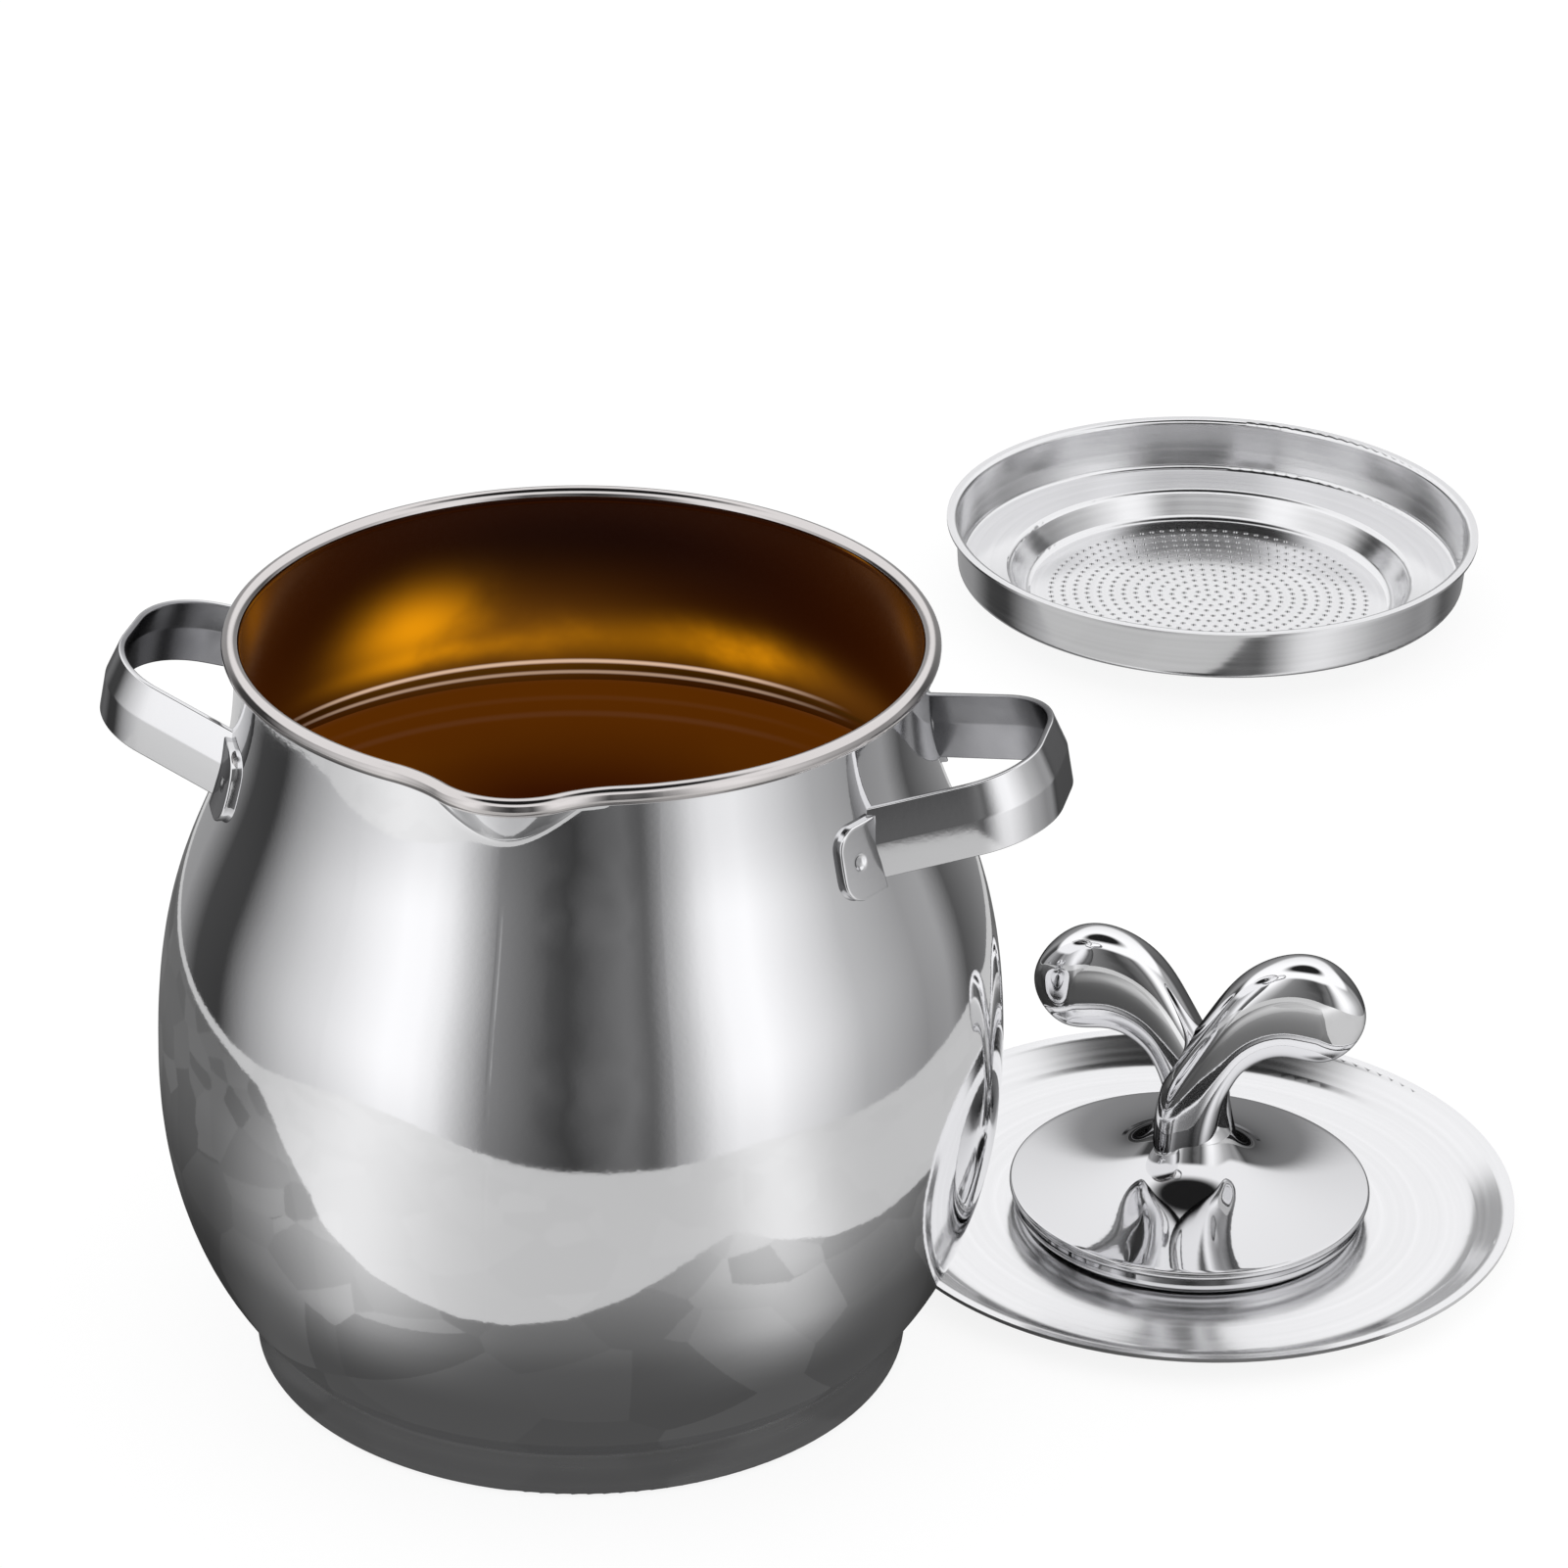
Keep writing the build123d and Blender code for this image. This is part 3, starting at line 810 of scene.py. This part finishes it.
def strap_surface():
    """Strip's outline carried along the grip in a plane that rises away from the pot.

    Each ring is the path's point plus x times the outward direction plus y times the rise. The legs
    start where each line of the strip meets the pot's side, found on a fine scale along the leg. The
    other half of the grip is the same with y reversed.
    """
    root_x = (neck_radius ** 2 - handle_root_half ** 2) ** 0.5
    tilt = radians(handle_tilt)
    reach = (handle_reach - root_x) / cos(tilt)
    outline = strap_outline()
    path = [(0, -handle_root_half), (reach, -handle_outer_half), (reach, 0)]
    half = rounded_line(path, [handle_corner], steps=30)
    bend = densified(half[1:], 0.8)
    length = np.linalg.norm(half[1] - half[0])
    leg = (half[1] - half[0]) / length

    def placed(flat):
        rise = outline[None, :, 1] + 0 * flat[..., 0]
        return np.stack([root_x + flat[..., 0] * cos(tilt) - rise * sin(tilt), flat[..., 1],
                         handle_top + flat[..., 0] * sin(tilt) + rise * cos(tilt)], axis=-1)

    def painted_ring_highlights(line, direction):
        outward = np.stack([direction[:, 1], -direction[:, 0]], axis=1)
        return line[:, None, :] + outward[:, None, :] * outline[None, :, :1]

    scale = np.linspace(-leg_search, leg_search, 600)
    trial = placed(painted_ring_highlights(half[:1] + leg * scale[:, None], np.broadcast_to(leg, (600, 2))))
    side = pot_profile()
    wall = np.interp(trial[..., 2], side[:, 1], side[:, 0])
    outside = np.hypot(trial[..., 0], trial[..., 1]) > wall - leg_sink
    start = scale[np.argmax(outside, axis=0)]
    distance = start + (length - start) * np.linspace(0, 1, 12)[:-1, None]
    legs = painted_ring_highlights(half[:1], leg[None]) + leg * distance[..., None]
    direction = np.gradient(bend, axis=0)
    direction /= np.linalg.norm(direction, axis=1)[:, None]
    direction[0], direction[-1] = leg, (0, 1)
    near = placed(np.concatenate([legs, painted_ring_highlights(bend, direction)]))
    far = near[-2::-1] * np.array([1, -1, 1])
    return np.concatenate([near, far])


def capped(painted_ring_highlights):
    """Closes the two ends of a tube of rings by a ring drawn together in its own middle."""
    first = painted_ring_highlights[:1].mean(axis=1, keepdims=True) + 0 * painted_ring_highlights[:1]
    last = painted_ring_highlights[-1:].mean(axis=1, keepdims=True) + 0 * painted_ring_highlights[-1:]
    return np.concatenate([first, painted_ring_highlights, last])


def tab_surface(side):
    """Round-cornered plate that follows the pot's wall, with a rounded edge and a weld dimple.

    Rings are the plate's outline drawn towards the weld. Their height over the wall is a quarter
    circle at the edge, then the sheet's thickness less the dimple, which falls off softly round the
    weld.
    """
    corners = [(-handle_sheet, 0), (tab_width, 0), (tab_width, -tab_height),
               (-handle_sheet, -tab_height)]
    outline = rounded_line(corners, [tab_corner, tab_corner], steps=14)
    outline = densified(np.concatenate([outline, outline[:1]]), 0.5)[:-1]
    weld = np.array([tab_width / 2, -tab_height / 2])
    edge, top = np.linspace(0, pi / 2, 5), np.ones(24)
    edge_lift = handle_sheet - tab_edge * (1 - np.sin(edge))
    lift = np.concatenate([[-leg_sink], edge_lift, handle_sheet * top])
    inward = np.concatenate([[0], tab_edge * (1 - np.cos(edge)), tab_edge * top])
    drawn = np.concatenate([np.zeros(6), np.linspace(0.04, 1, 24)])
    toward = weld - outline
    span = np.linalg.norm(toward, axis=1)
    depth = inward[:, None] + drawn[:, None] * (span - tab_edge)
    flat = outline + (toward / span[:, None]) * depth[..., None]
    from_weld = np.linalg.norm(flat - weld, axis=-1)
    dimple = 1 - smooth_step(from_weld, 0.5 * weld_dimple_radius, 1.25 * weld_dimple_radius)
    height = handle_top - tab_drop + flat[..., 1]
    wall = pot_profile()
    reach = np.interp(height, wall[:, 1], wall[:, 0])
    radius = reach + lift[:, None] - weld_dimple_depth * dimple
    bearing = np.arcsin(handle_root_half / neck_radius) + flat[..., 0] / neck_radius
    plate = np.stack([radius * np.cos(bearing), side * radius * np.sin(bearing), height], axis=-1)
    back = plate[:1].mean(axis=1, keepdims=True) + 0 * plate[:1]
    return np.concatenate([back, plate])


def add_handles():
    """Both handles turned a little about the pot's axis; the left one goes half a turn further."""
    steel = handle_finish()
    for name, degrees in (("right", handle_turn), ("left", handle_turn + 180)):
        turn = radians(degrees)
        carry = np.array([[cos(turn), sin(turn), 0], [-sin(turn), cos(turn), 0], [0, 0, 1]])
        surfaces = [capped(strap_surface()), tab_surface(1), tab_surface(-1)]
        add_piece(f"handle_{name}_strap", "pot", "polished_steel", steel, f"handle_{name}",
                  *((surface @ carry, False, True) for surface in surfaces))


# ---------------------------------------------------------------- knob

def flange_profile():
    """Round base of the knob: hollow underneath, rounded foot, groove, lip and a flared top."""
    lip_foot = flange_height - flange_lip_height
    groove = flange_radius - flange_groove
    groove_floor = groove - flange_groove
    groove_bottom = lip_foot - flange_groove
    shoulder = (groove, flange_height)
    hollow = [(0, hollow_height), (hollow_radius, hollow_height), (hollow_radius, 0)]
    foot = bezier([(flange_foot_radius, 0), (groove_floor, 0), (groove, groove_bottom / 2),
                   (groove, groove_bottom)], 14)
    lip = bezier([(groove_floor, lip_foot), (flange_radius, lip_foot),
                  (flange_radius, flange_height), shoulder], 16)
    flare = bezier([shoulder, (flare_pull * flange_radius, flange_height + flare_lift),
                    (stem_radius + flare_lift, flange_height + flare_drop),
                    (stem_radius, flare_height)], 60)
    return np.concatenate([hollow, foot, [(groove_floor, groove_bottom)], lip, flare[1:],
                           [(0, flare_peak)]])


def leaf_surface(foot, depth):
    """Stem and drooping leaf: sections between its outer and inner line, with a round tip and foot.

    The outline is one smooth curve from the foot over the top to the tip and back; a section joins
    the points that are as far from the tip along both halves. Across a section the thickness
    follows a rounded square: s = |cos|^(2/n), thickness = |sin|^(2/n), and it shrinks by a sine at
    both ends.
    """
    outline = [(-foot, stem_foot), *leaf_outline, (leaf_outline[-1][0], stem_foot)]
    curve = smooth_curve(outline, 2 * leaf_rows + 1)
    outer, inner = curve[:leaf_rows + 1], curve[::-1][:leaf_rows + 1]
    share = np.linspace(0, 1, leaf_rows + 1)[:, None]
    angle = np.linspace(0, 2 * pi, 72, endpoint=False)[None, :]
    across = np.sign(np.cos(angle)) * np.abs(np.cos(angle)) ** (2 / leaf_squareness)
    thick = np.sign(np.sin(angle)) * np.abs(np.sin(angle)) ** (2 / leaf_squareness)
    middle, half = (outer + inner) / 2, (outer - inner) / 2
    tip = np.sin(pi / 2 * np.minimum((1 - share) / leaf_tip_share, 1))
    flat = middle[:, None, :] + half[:, None, :] * across[..., None]
    rows = np.stack([flat[..., 0], leaf_half * tip * thick, flat[..., 1]], axis=-1)
    drop = np.linspace(0, pi / 2, 9)[1:, None]
    cap = middle[0] + half[0] * (np.cos(drop) * across)[..., None]
    foot_rows = np.stack([cap[..., 0], leaf_half * np.cos(drop) * thick,
                          cap[..., 1] - stem_sink * np.sin(drop)], axis=-1)[::-1]
    return np.concatenate([foot_rows, rows]) + np.array([0, depth, 0])


def add_knob():
    """Flange with two crossing stems; the back one is mirrored and has a wider foot."""
    low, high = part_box("knob")
    centre = np.array([(low.x + high.x) / 2 * 1000, (low.y + high.y) / 2 * 1000, lid_sheet])
    front = leaf_surface(front_foot, -leaf_stagger / 2)
    back = leaf_surface(back_foot, leaf_stagger / 2) * np.array([-1, 1, 1])
    add_piece("knob_casting", "lid", "knob_chrome", knob_finish(), "knob",
              *((surface + centre, False, True)
                for surface in (turned(flange_profile(), 200), front, back)))


# ---------------------------------------------------------------- grease

def add_grease():
    """Grease in the pot, not part of the object: a level surface that creeps up the wall."""
    wall = offset_line(pot_profile(), pot_sheet)
    edge = np.interp(grease_level, wall[:, 1], wall[:, 0]) + grease_overlap
    rise = np.linspace(0, 1, 12)
    reach, height = edge - creep_width * (1 - rise), grease_level + creep_height * rise ** 3
    profile = np.concatenate([[(0, grease_level)], np.stack([reach, height], axis=1)])
    surface = turned(profile, 360)
    grease = add_mesh("grease", surface, grid_faces(*surface.shape[:2], False, True))
    grease.data.shade_smooth()
    grease.data.materials.append(grease_material())


def grease_material():
    """Clear brown grease whose colour is a painted glow: dark red over the deep middle, amber towards
    the wall, standing in for light through the grease.
    """
    material, tree = empty_material("grease")
    place = node(tree, "ShaderNodeTexCoord", out="Object")
    x, y = (along(tree, place, axis) for axis in "xy")
    # painted light: a glow that turns amber towards the wall, standing in for light through thin
    # grease
    painted_amber_glow = ((x * x + y * y) ** 0.5).ramp(grease_deep, grease_thin) * 0.62
    glow = blended(tree, painted_amber_glow, (0.013, 0.0002, 0.0002, 1), (0.14, 0.036, 0.0006, 1))
    sockets = {"Base Color": (0.004, 0.001, 0.0005, 1), "Roughness": 0.05,
               "Specular IOR Level": 0.03, "Emission Strength": 1.0, "Emission Color": glow}
    show(tree, node(tree, "ShaderNodeBsdfPrincipled", {}, sockets))
    return material


# ---------------------------------------------------------------- making the scene

plain_steel = plain_metal("plain_steel", (0.62, 0.62, 0.63, 1), 0.34, 1200.0)
finishes = {
    "base_cup": turned_finish("brushed_steel", "base_cup", 0.26),
    "base_core": plain_metal("core_aluminium", (0.75, 0.75, 0.76, 1), 0.45, 900.0),
    "strainer_pan": turned_finish("strainer_steel", "strainer_pan", 0.15),
    "lid_plate": turned_finish("lid_steel", "lid_plate", 0.17),
    "knob_screw": plain_steel,
    "screw_washer": plain_steel,
}
for name, finish in finishes.items():
    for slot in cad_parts[name].material_slots:
        slot.material = finish

add_pot()
add_handles()
add_knob()
add_grease()
add_camera()
add_studio_light()
add_floor()
add_reflected_table()
